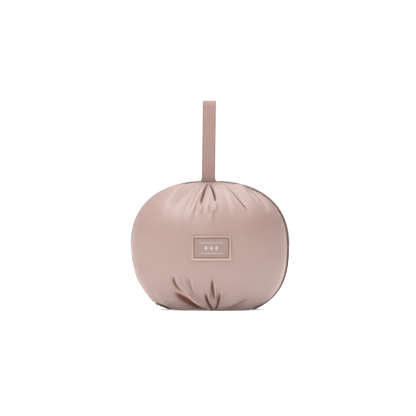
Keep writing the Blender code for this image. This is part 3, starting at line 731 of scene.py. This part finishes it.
class Finish:
    """A material while its nodes are laid out."""

    def __init__(self, name, roughness, constants=()):
        self.material = bpy.data.materials.new(name)
        self.material.use_nodes = True
        self.tree = self.material.node_tree
        self.shader = self.tree.nodes["Principled BSDF"]
        self.shader.inputs["Roughness"].default_value = roughness
        for socket, value in dict(constants).items():
            self.shader.inputs[socket].default_value = value

    def node(self, kind, settings=(), output=0, sockets=()):
        """Any node: its settings first, then its sockets by name or place."""
        node = self.tree.nodes.new("ShaderNode" + kind)
        for setting, value in dict(settings).items():
            setattr(node, setting, value)
        for place, value in dict(sockets).items():
            join(self.tree, value, node.inputs[place])
        return Socket(self.tree, node.outputs[output])

    def flat(self, scale=(1.0, 1.0, 1.0)):
        """The flat cut's lengths in metres, times a scale along each."""
        cut = self.node("UVMap", {"uv_map": "cut"})
        return self.node("VectorMath", {"operation": "MULTIPLY"}, 0, {0: cut, 1: scale})

    def place(self):
        """The place in the object in metres."""
        return self.node("TexCoord", (), 3)

    def parts(self, vector):
        """The three numbers of a vector."""
        node = self.tree.nodes.new("ShaderNodeSeparateXYZ")
        join(self.tree, vector, node.inputs[0])
        return [Socket(self.tree, output) for output in node.outputs]

    def noise(self, vector, scale=1.0, detail=2.0, roughness=0.5):
        """Smooth noise from 0 to 1."""
        sockets = {"Vector": vector, "Scale": scale, "Detail": detail, "Roughness": roughness}
        return self.node("TexNoise", (), 0, sockets)

    def blend(self, share, first, second):
        """A colour between two others."""
        first, second = (one if isinstance(one, Socket) else (*one, 1.0) for one in (first, second))
        return self.node("Mix", {"data_type": "RGBA"}, 2, {0: share, 6: first, 7: second})

    def paint(self, colour):
        join(self.tree, colour, self.shader.inputs["Base Color"])

    def polish(self, roughness):
        join(self.tree, roughness, self.shader.inputs["Roughness"])

    def mix_in_painted_shade(self, share, colour):
        """Mixes matt cloth of another colour in place of the finish by a share: painted shade."""
        matt = self.tree.nodes.new("ShaderNodeBsdfDiffuse")
        matt.inputs["Color"].default_value = (*colour, 1.0)
        mix = self.tree.nodes.new("ShaderNodeMixShader")
        join(self.tree, share, mix.inputs[0])
        self.tree.links.new(self.shader.outputs[0], mix.inputs[1])
        self.tree.links.new(matt.outputs[0], mix.inputs[2])
        self.tree.links.new(mix.outputs[0], self.tree.nodes["Material Output"].inputs["Surface"])

    def emboss(self, height, distance, strength=1.0):
        """Raises the surface by a height from 0 to 1 times a distance."""
        bump = self.node("Bump", (), 0, {"Height": height, "Distance": distance, "Strength": strength})
        join(self.tree, bump, self.shader.inputs["Normal"])


def shaded(colour, factor):
    """A colour made lighter or darker."""
    return tuple(min(1.0, part * factor) for part in colour)


def satin_finish(colours):
    """Satin-faced nylon: fine vertical yarns, a close weave and a soft sheen, with painted shade in its
    creases and a painted highlight on its ridges.
    """
    cloth = colours.cloth
    finish = Finish("bag_cloth_satin", 0.4, {
        "IOR": 1.6, "Specular IOR Level": 0.72, "Sheen Weight": 0.06, "Sheen Roughness": 0.4,
    })
    yarn = finish.noise(finish.flat((1100.0, 26.0, 1.0)), 1.0, 3.0, 0.6)
    patches = finish.noise(finish.flat(), 22.0, 2.0)
    body = finish.blend(yarn.eased(0.25, 0.75), shaded(cloth, 0.97), shaded(cloth, 1.03))
    body = finish.blend((patches - 0.5) * 0.4 + 0.2, body, shaded(cloth, 0.93))
    # painted shade and painted highlight: below nothing the "crease" layer paints ridges lighter, above
    # nothing it mixes in the dark crease colour
    depth = finish.node("Attribute", {"attribute_name": "crease"}, 2)
    finish.paint(finish.blend((0.0 - depth).eased(0.0, 1.0), body, shaded(cloth, 1.5)))
    finish.mix_in_painted_shade(depth.eased(-0.03, 1.0) * 0.97, colours.crease)
    finish.polish(yarn * 0.06 + patches * 0.06 + 0.40)
    u, v, _w = finish.parts(finish.flat())
    warp = u.ribs(0.42 * MM)
    weft = (v * (math.pi / (0.42 * MM)) + (u * (math.pi / (0.84 * MM))).sine() * 1.5).sine().size()
    finish.emboss(warp * 0.5 + weft * 0.35 + yarn * 0.5, 0.10 * MM, 0.5)
    return finish.material


def webbing_finish(colours, width):
    """Ribbed webbing: lengthwise ribs, herringbone yarns, and darker along both edges."""
    base = colours.webbing
    finish = Finish("strap_webbing_ribbed", 0.6, {"Sheen Weight": 0.03, "Specular IOR Level": 0.08})
    u, v, _w = finish.parts(finish.flat())
    rib = u.ribs(width / STRAP_RIBS)
    slant = (v * (math.pi / (0.8 * MM)) + rib * 2.2).sine().size()
    yarn = finish.noise(finish.flat((900.0, 300.0, 1.0)), 1.0, 2.0)
    body = finish.blend(rib * 0.7 + slant * 0.15 + yarn * 0.15, shaded(base, 0.82), shaded(base, 1.08))
    edge = u.size().eased(width * 0.5 - 2.4 * MM, width * 0.5 - 0.6 * MM)
    finish.paint(finish.blend(edge * 0.45, body, shaded(base, 0.6)))
    finish.polish(0.7 - rib * 0.12)
    finish.emboss(rib * 0.7 + slant * 0.3, 0.14 * MM, 0.5)
    return finish.material


def tape_finish(colours):
    """Woven zip tape with its fine cross ribs, near black, which partly paints the shade in the zip's
    groove.
    """
    base = colours.tape
    finish = Finish("zip_tape_woven", 0.75, {"Specular IOR Level": 0.2})
    u, v, _w = finish.parts(finish.flat())
    rib, cross = u.ribs(0.55 * MM), v.ribs(0.5 * MM)
    yarn = finish.noise(finish.flat((700.0, 1500.0, 1.0)), 1.0, 2.0)
    finish.paint(finish.blend(rib * 0.5 + yarn * 0.5, shaded(base, 0.75), shaded(base, 1.25)))
    finish.polish(0.85 - rib * 0.15)
    finish.emboss(rib * 0.6 + cross * 0.4, 0.12 * MM, 0.8)
    return finish.material


def coil_finish(colours):
    """Moulded nylon teeth, half matt."""
    base = colours.coil
    finish = Finish("zip_coil_nylon", 0.38)
    grain = finish.noise(finish.place(), 900.0, 2.0)
    wide = finish.noise(finish.place(), 60.0, 1.0)
    finish.paint(finish.blend(wide, shaded(base, 0.85), shaded(base, 1.15)))
    finish.polish(grain * 0.15 + 0.3)
    finish.emboss(grain, 0.04 * MM, 0.4)
    return finish.material


def slider_finish(colours):
    """Painted die-cast metal, worn a little in scattered spots."""
    base = colours.slider
    finish = Finish("slider_paint", 0.35, {"Coat Weight": 0.2})
    grain = finish.noise(finish.place(), 700.0, 3.0)
    wear = finish.noise(finish.place(), 260.0, 4.0, 0.7)
    finish.paint(finish.blend(wear.eased(0.62, 0.72) * 0.5, base, shaded(base, 0.6)))
    finish.polish(grain * 0.2 + 0.27)
    finish.emboss(grain, 0.03 * MM, 0.4)
    return finish.material


def thread_finish(name, base):
    """Twisted sewing thread."""
    finish = Finish(name, 0.5, {"Sheen Weight": 0.2})
    twist = finish.noise(finish.place(), 2600.0, 2.0)
    finish.paint(finish.blend(twist, shaded(base, 0.75), shaded(base, 1.2)))
    finish.emboss(twist, 0.06 * MM, 0.6)
    return finish.material


def patch_finish(colours, width, height):
    """Close woven patch with a plain ornament of small lozenges between two thin lines, with a painted
    highlight on its rim and a band of painted shade inside the rim.
    """
    base = colours.patch
    finish = Finish("label_patch_woven", 0.6, {"Sheen Weight": 0.12})
    u, v, _w = finish.parts(finish.flat())
    warp, weft = u.ribs(0.5 * MM), v.ribs(0.5 * MM)
    yarn = finish.noise(finish.flat((900.0, 120.0, 1.0)), 1.0, 3.0)
    wide = finish.noise(finish.flat(), 70.0, 2.0)
    body = finish.blend(yarn * 0.6 + wide * 0.4, shaded(base, 0.88), shaded(base, 1.1))
    step = 7.6 * MM
    inside = u.size() < 1.5 * step
    lozenge = ((u * (1 / step) + 0.5).fraction() - 0.5).size() * 2.6 + v.size() * (1 / (3.4 * MM))
    lines = ((v.size() - 7.6 * MM).size() < 0.45 * MM) * (u.size() < 17.5 * MM)
    mark = (lozenge < 1.0) * inside + lines
    inner = u.math("MINIMUM", width / 2 - u.size(), height / 2 - v.size())
    rim = inner < 2.9 * MM
    # painted highlight: the rim is painted lighter than the patch, and lighter still towards the bottom
    turned = finish.blend(0.5 - v * (1 / height), shaded(base, 1.3), shaded(base, 1.75))
    body = finish.blend(rim, body, turned)
    # painted shade: a dark brown band just inside the rim, where the groove lies
    body = finish.blend(1.0 - inner.eased(3.6 * MM, 5.2 * MM) - rim, body, (0.085, 0.047, 0.036))
    finish.paint(finish.blend(mark * 0.32, body, colours.motif))
    finish.polish(0.68 - yarn * 0.12 - rim * 0.2)
    finish.emboss(warp * 0.3 + weft * 0.3 + mark * 0.6, 0.14 * MM, 0.7)
    return finish.material


def floor_finish(glow):
    """The pale top of a light table."""
    white = (1.0, 1.0, 1.0, 1.0)
    finish = Finish("studio_table", 0.9, {"Emission Color": white, "Emission Strength": glow})
    grain = finish.noise(finish.place(), 40.0, 3.0)
    finish.paint(finish.blend(grain, (0.90, 0.90, 0.90), (0.92, 0.92, 0.92)))
    return finish.material


class BAG_OT_make_panels(bpy.types.Operator):
    """Sews the gathered front and back panels in satin cloth"""
    bl_idname = "storage_bag.make_panels"
    bl_label = "Front and Back Panels"

    def execute(self, context):
        sizes = context.scene.bag_sizes
        form = Form(sizes)
        satin = satin_finish(context.scene.bag_colours)
        columns, rows = sizes.front_columns, sizes.front_rows
        front = sew_panel(form, "front_cloth", -1, FRONT_FOLDS, columns, rows, satin)
        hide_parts("front_panel")
        back = sew_panel(form, "back_cloth", 1, BACK_FOLDS, columns * 3 // 4, rows * 3 // 4, satin)
        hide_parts("back_panel")
        return {"FINISHED"}


class BAG_OT_make_zip(bpy.types.Operator):
    """Makes the zip's two tapes, its coil, its slider and the cloth strip under the bag"""
    bl_idname = "storage_bag.make_zip"
    bl_label = "Zip and Base Strip"

    def execute(self, context):
        form, colours = Form(context.scene.bag_sizes), context.scene.bag_colours
        width = form.sizes.zip_width
        start, stop = FULL_TURN / 2 - ZIP_END_ANGLE, ZIP_END_ANGLE
        angles = band_angles(start, stop, BAND_STATIONS)
        woven = tape_finish(colours)
        stops = np.array((-SEAM_ALLOWANCE, SEAM_RETURN, *np.linspace(0.0, form.tape_width, len(TAPE_DIPS))))
        recess = np.array((0.0, 0.0, *(TAPE_RECESS + dip * MM for dip in TAPE_DIPS)))
        sewn_in = np.arange(len(stops)) < 2
        for name, node, across, way in (
            ("front_tape", "zip_tape_front", stops, 1), ("back_tape", "zip_tape_back", width - stops, -1),
        ):
            band = sweep_band(form, angles, across[::way], recess[::way], sewn_in[::way])
            piece = add_piece(name, band, woven)
            add_wall(piece, TAPE_WALL)
            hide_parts(node)
        self.make_coil(form, colours, angles)
        self.make_slider(form, colours)
        clear = math.degrees(GAP / form.half_width)
        below = band_angles(stop + clear, FULL_TURN + start - clear, BASE_STATIONS)
        stops = np.linspace(0.0, width, 9)
        band = sweep_band(form, below, stops, np.zeros(len(stops)))
        base = add_piece("base_strip", band, bpy.data.materials["bag_cloth_satin"])
        add_wall(base, form.sizes.cloth)
        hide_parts("base_gusset")
        return {"FINISHED"}

    def make_coil(self, form, colours, angles):
        """The closed coil: teeth from both sides in turn, on a thin woven core."""
        sizes, middle = form.sizes, form.sizes.zip_width / 2
        fine = np.linspace(angles[0], angles[-1], 2 * BAND_STATIONS + 1)
        line = form.ring(fine, middle, CHAIN_RECESS)
        run = np.concatenate(([0.0], np.cumsum(np.linalg.norm(np.diff(line, axis=1), axis=0))))
        shape = bmesh.new()
        size = 0.66 * sizes.tooth_pitch, TOOTH_SHARE * sizes.chain_width, TOOTH_HEIGHT
        add_block(shape, size, 0.28 * MM)
        seed = shape.verts[:]
        tooth = seed + shape.edges[:] + shape.faces[:]
        for number in range(int(run[-1] / sizes.tooth_pitch)):
            angle = float(np.interp((number + 0.5) * sizes.tooth_pitch, run, fine))
            shift = (TOOTH_SHIFT if number % 2 else -TOOTH_SHIFT) * sizes.chain_width
            frame_here = band_frame(form, angle, middle + shift, CHAIN_RECESS + TOOTH_HEIGHT / 2)
            made = bmesh.ops.duplicate(shape, geom=tooth)["geom"]
            verts = [item for item in made if isinstance(item, bmesh.types.BMVert)]
            bmesh.ops.transform(shape, matrix=frame_here, verts=verts)
        bmesh.ops.delete(shape, geom=seed, context="VERTS")
        coil = add_piece("coil_teeth", shape, coil_finish(colours))
        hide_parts("zip_chain")
        half = sizes.chain_width / 2 - 0.1 * MM
        side = np.array((half + CORE_HEM, half + 0.2 * MM, half, half / 2, 0.0))
        depth = CHAIN_RECESS + np.array([CORE_HEM_DEPTH] * 2 + [CORE_DEPTH] * 3)
        stops = middle + np.concatenate((-side, side[-2::-1]))
        band = sweep_band(form, angles, stops, np.concatenate((depth, depth[-2::-1])))
        core = add_piece("coil_core", band, bpy.data.materials["zip_tape_woven"])
        add_wall(core, CORE_WALL)

    def make_slider(self, form, colours):
        """The closed slider, with its bridge, and its pull lying forward over the front tape."""
        shape = bmesh.new()
        for block in SLIDER_BLOCKS:
            size = [part * MM for part in (block.long, block.wide, block.high)]
            middle = [part * MM for part in (block.x, block.y, block.z)]
            made = add_block(shape, size, block.bevel * MM, block.steps, middle)
            if block.name == "body":
                for vertex in made:
                    vertex.co.y *= 1 - SLIDER_TAPER * eased(0.0, size[0] / 2, vertex.co.x)
        frame_here = band_frame(form, math.radians(SLIDER_ANGLE), form.sizes.zip_width / 2, -SLIDER_RISE)
        bmesh.ops.transform(shape, matrix=frame_here, verts=shape.verts[:])
        slider = add_piece("slider_body", shape, slider_finish(colours))
        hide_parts("zip_slider")


class BAG_OT_make_strap(bpy.types.Operator):
    """Weaves the strap loop and its row of stitches"""
    bl_idname = "storage_bag.make_strap"
    bl_label = "Strap Loop"

    def execute(self, context):
        sizes = context.scene.bag_sizes
        form = Form(sizes)
        away, height = self.path(sizes)
        shape, column, row = make_grid(STRAP_COLUMNS, len(away) - 1)
        above = height[row] - sizes.height
        flare = STRAP_FLARE * (1 - eased(0.0, STRAP_SEWN, above))
        share = column / STRAP_COLUMNS - 0.5
        middle = STRAP_X + STRAP_LEAN * np.maximum(0.0, above) / sizes.strap_height
        x = middle + share * (sizes.strap_width + 2 * flare)
        run = np.stack((np.gradient(away), np.gradient(height)))
        run /= np.linalg.norm(run, axis=0)
        rib = STRAP_RIB * (np.abs(np.sin(np.pi * STRAP_RIBS * share)) - 1)
        y = form.strap_y + away[row] - run[1][row] * rib
        z = height[row] + run[0][row] * rib
        places = np.stack((x, y, z))
        length_along = np.concatenate(([0.0], np.cumsum(np.hypot(np.diff(away), np.diff(height)))))
        lay_grid(shape, places, share * sizes.strap_width, length_along[row])
        shape.normal_update()
        front_leg = min(shape.faces, key=lambda face: face.calc_center_median().y)
        if front_leg.normal.y > 0:
            bmesh.ops.reverse_faces(shape, faces=shape.faces[:])
        finish = webbing_finish(context.scene.bag_colours, sizes.strap_width)
        strap = add_piece("strap_loop", shape, finish)
        add_wall(strap, sizes.strap_thickness - STRAP_RIB, 0.0)
        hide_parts("strap")
        self.stitch(context, form)
        return {"FINISHED"}

    def stitch(self, context, form):
        """The row of stitches through both layers, just above the bag."""
        sizes = form.sizes
        count = int((sizes.strap_width - 2 * MM) / STRAP_STITCH_PITCH)
        front = form.strap_y - form.strap_stack / 2
        shape = bmesh.new()
        for number in range(count):
            middle = (
                STRAP_X + (number + 0.5 - count / 2) * STRAP_STITCH_PITCH, front,
                sizes.height + STRAP_STITCH_HEIGHT,
            )
            add_block(shape, (STRAP_STITCH, 0.5 * MM, 0.55 * MM), 0.18 * MM, 1, middle)
        base = shaded(context.scene.bag_colours.webbing, 0.55)
        add_piece("strap_stitches", shape, thread_finish("strap_thread", base))

    def path(self, sizes):
        """Offsets in depth and heights of the strap's middle line, up the front and down the back."""
        half_root = (sizes.strap_thickness + GAP) / 2
        half_open = sizes.loop_radius - sizes.strap_thickness / 2
        low, high = sizes.height - STRAP_ROOT, sizes.height + sizes.strap_height - sizes.loop_radius
        heights = np.linspace(low, high, STRAP_LEG_STEPS)
        start, full = sizes.height + STRAP_SEWN, high + 0.2 * sizes.strap_height
        offsets = mixed(half_root, half_open, eased(start, full, heights) / eased(start, full, high))
        turn = np.linspace(0, np.pi, STRAP_TURN_STEPS + 1)[1:-1]
        away = np.concatenate((-offsets, -half_open * np.cos(turn), offsets[::-1]))
        height = np.concatenate((heights, high + half_open * np.sin(turn), heights[::-1]))
        return away, height


class BAG_OT_make_patch(bpy.types.Operator):
    """Makes the patch on the front, with its turned rim and its stitches"""
    bl_idname = "storage_bag.make_patch"
    bl_label = "Patch"

    def execute(self, context):
        sizes = context.scene.bag_sizes
        cloth = bpy.data.objects["front_cloth"]
        surface = BVHTree.FromObject(cloth, context.evaluated_depsgraph_get())
        half_w, half_h, rim = sizes.label_width / 2, sizes.label_height / 2, sizes.label_rim
        shape, column, row = make_grid(PATCH_COLUMNS, PATCH_ROWS)
        u = (column / PATCH_COLUMNS - 0.5) * sizes.label_width
        v = (0.5 - row / PATCH_ROWS) * sizes.label_height
        edge = np.minimum(half_w - np.abs(u), half_h - np.abs(v))
        round_rim = np.sqrt(np.clip(1 - ((edge - rim / 2) / (rim / 2)) ** 2, 0, 1))
        groove = bell((edge - rim - PATCH_GROOVE_REACH) / PATCH_GROOVE_REACH)
        rise = PATCH_RISE + np.where(edge > rim, -PATCH_GROOVE * groove, PATCH_RIM_RISE * round_rim)
        rise = np.where(edge <= 0.0, PATCH_EDGE, rise)
        x, z = u + LABEL_X, v + LABEL_MID_HEIGHT
        y = np.array([self.front_of(surface, a, b) for a, b in zip(x, z)])
        places = np.stack((x, y - GAP - rise, z))
        lay_grid(shape, places, u, v)
        face_outwards(shape, (0, -1, 0))
        finish = patch_finish(context.scene.bag_colours, sizes.label_width, sizes.label_height)
        patch = add_piece("label_cloth", shape, finish)
        add_wall(patch, PATCH_WALL)
        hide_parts("label")
        self.stitch(context, surface)
        return {"FINISHED"}

    def front_of(self, surface, x, z):
        """How far forward the cloth lies at a place of the front."""
        hit = surface.ray_cast(Vector((x, -1.0, z)), Vector((0, 1, 0)))[0]
        if hit is None:
            raise RuntimeError("the patch reaches past the cloth")
        return hit.y

    def stitch(self, context, surface):
        """A row of stitches in the groove inside the rim."""
        sizes = context.scene.bag_sizes
        inset = sizes.label_rim + 0.55 * MM
        half_w, half_h = sizes.label_width / 2 - inset, sizes.label_height / 2 - inset
        shape = bmesh.new()
        for half_run, half_off, turned in ((half_w, half_h, False), (half_h, half_w, True)):
            count = int(2 * half_run / PATCH_STITCH_PITCH)
            for number in range(count):
                run = (number + 0.5 - count / 2) * 2 * half_run / count
                for off in (-half_off, half_off):
                    u, v = (off, run) if turned else (run, off)
                    long, high = (0.5 * MM, PATCH_STITCH) if turned else (PATCH_STITCH, 0.5 * MM)
                    x, z = u + LABEL_X, v + LABEL_MID_HEIGHT
                    middle = (x, self.front_of(surface, x, z) - GAP - 0.85 * MM, z)
                    add_block(shape, (long, 0.42 * MM, high), 0.16 * MM, 1, middle)
        base = shaded(context.scene.bag_colours.patch, 0.6)
        add_piece("label_stitches", shape, thread_finish("label_thread", base))


class BAG_OT_make_stage(bpy.types.Operator):
    """Sets the pale floor, the soft light and the camera"""
    bl_idname = "storage_bag.make_stage"
    bl_label = "Studio"

    def execute(self, context):
        scene, look = context.scene, context.scene.stage_look
        shape = bmesh.new()
        bmesh.ops.create_grid(shape, x_segments=2, y_segments=2, size=FLOOR_REACH)
        mesh = bpy.data.meshes.new("studio_floor")
        shape.to_mesh(mesh)
        shape.free()
        floor = bpy.data.objects.new("studio_floor", mesh)
        mesh.materials.append(floor_finish(look.table))
        scene.collection.objects.link(floor)
        self.light_room(scene, look)
        sun = bpy.data.lights.new("key_light", "SUN")
        sun.energy, sun.angle = look.key, math.radians(SUN_SPREAD_ANGLE)
        self.aim(scene, sun, Vector(SUN_PLACE), Vector((0, 0, 0)))
        camera = bpy.data.cameras.new("camera")
        camera.lens = look.lens
        camera.clip_start, camera.clip_end = 0.05, 100.0
        middle = Vector((AIM_X, 0.0, look.aim_height))
        lift = look.camera_height - look.aim_height
        back = math.sqrt(look.distance**2 - lift**2)
        scene.camera = self.aim(scene, camera, middle + Vector((0, -back, lift)), middle)
        scene.view_settings.view_transform = "Standard"
        return {"FINISHED"}

    def aim(self, scene, data, place, target):
        """Puts a light or the camera at a place, looking at a target."""
        item = bpy.data.objects.new(data.name, data)
        item.location = place
        item.rotation_euler = (target - place).to_track_quat("-Z", "Y").to_euler()
        scene.collection.objects.link(item)
        return item

    def light_room(self, scene, look):
        """A white room: a bright ceiling and backdrop, dimmer half-way up and to the right."""
        world = bpy.data.worlds.new("white_room")
        scene.world = world
        world.use_nodes = True
        tree = world.node_tree
        coordinates = tree.nodes.new("ShaderNodeTexCoord")
        places = tree.nodes.new("ShaderNodeSeparateXYZ")
        tree.links.new(coordinates.outputs["Generated"], places.inputs[0])
        height = Socket(tree, places.outputs["Z"])
        right = Socket(tree, places.outputs["X"])
        walls = (1.0 - right * look.shade_side) * look.walls
        ceiling = (right * look.ceiling_side + 1.0) * look.ceiling
        level = height.eased(0.26, 0.38) * (walls - look.horizon) + look.horizon
        level = level + height.eased(0.62, 0.84) * (ceiling - walls)
        join(tree, level, tree.nodes["Background"].inputs["Strength"])
        tree.nodes["Background"].inputs["Color"].default_value = (1.0, 1.0, 1.0, 1.0)


STEPS = (BAG_OT_make_panels, BAG_OT_make_zip, BAG_OT_make_strap, BAG_OT_make_patch, BAG_OT_make_stage)


class BAG_PT_sidebar(bpy.types.Panel):
    """Lists the steps that make the bag"""
    bl_label = "Storage Bag"
    bl_idname = "BAG_PT_sidebar"
    bl_space_type = "VIEW_3D"
    bl_region_type = "UI"
    bl_category = "Storage Bag"

    def draw(self, context):
        for group in (context.scene.bag_sizes, context.scene.bag_colours, context.scene.stage_look):
            box = self.layout.box()
            for name in group.bl_rna.properties.keys()[2:]:
                box.prop(group, name)
        for step in STEPS:
            self.layout.operator(step.bl_idname)


GROUPS = (("bag_sizes", BagSizes), ("bag_colours", BagColours), ("stage_look", StageLook))


def register():
    for _name, group in GROUPS:
        bpy.utils.register_class(group)
    for name, group in GROUPS:
        setattr(bpy.types.Scene, name, PointerProperty(type=group))
    for step in (*STEPS, BAG_PT_sidebar):
        bpy.utils.register_class(step)


def unregister():
    for step in (BAG_PT_sidebar, *reversed(STEPS)):
        bpy.utils.unregister_class(step)
    for name, group in reversed(GROUPS):
        delattr(bpy.types.Scene, name)
        bpy.utils.unregister_class(group)


def main():
    """Makes the bag and its studio."""
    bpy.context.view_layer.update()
    register()
    bpy.ops.storage_bag.make_panels()
    bpy.ops.storage_bag.make_zip()
    bpy.ops.storage_bag.make_strap()
    bpy.ops.storage_bag.make_patch()
    bpy.ops.storage_bag.make_stage()


if __name__ == "__main__":
    main()
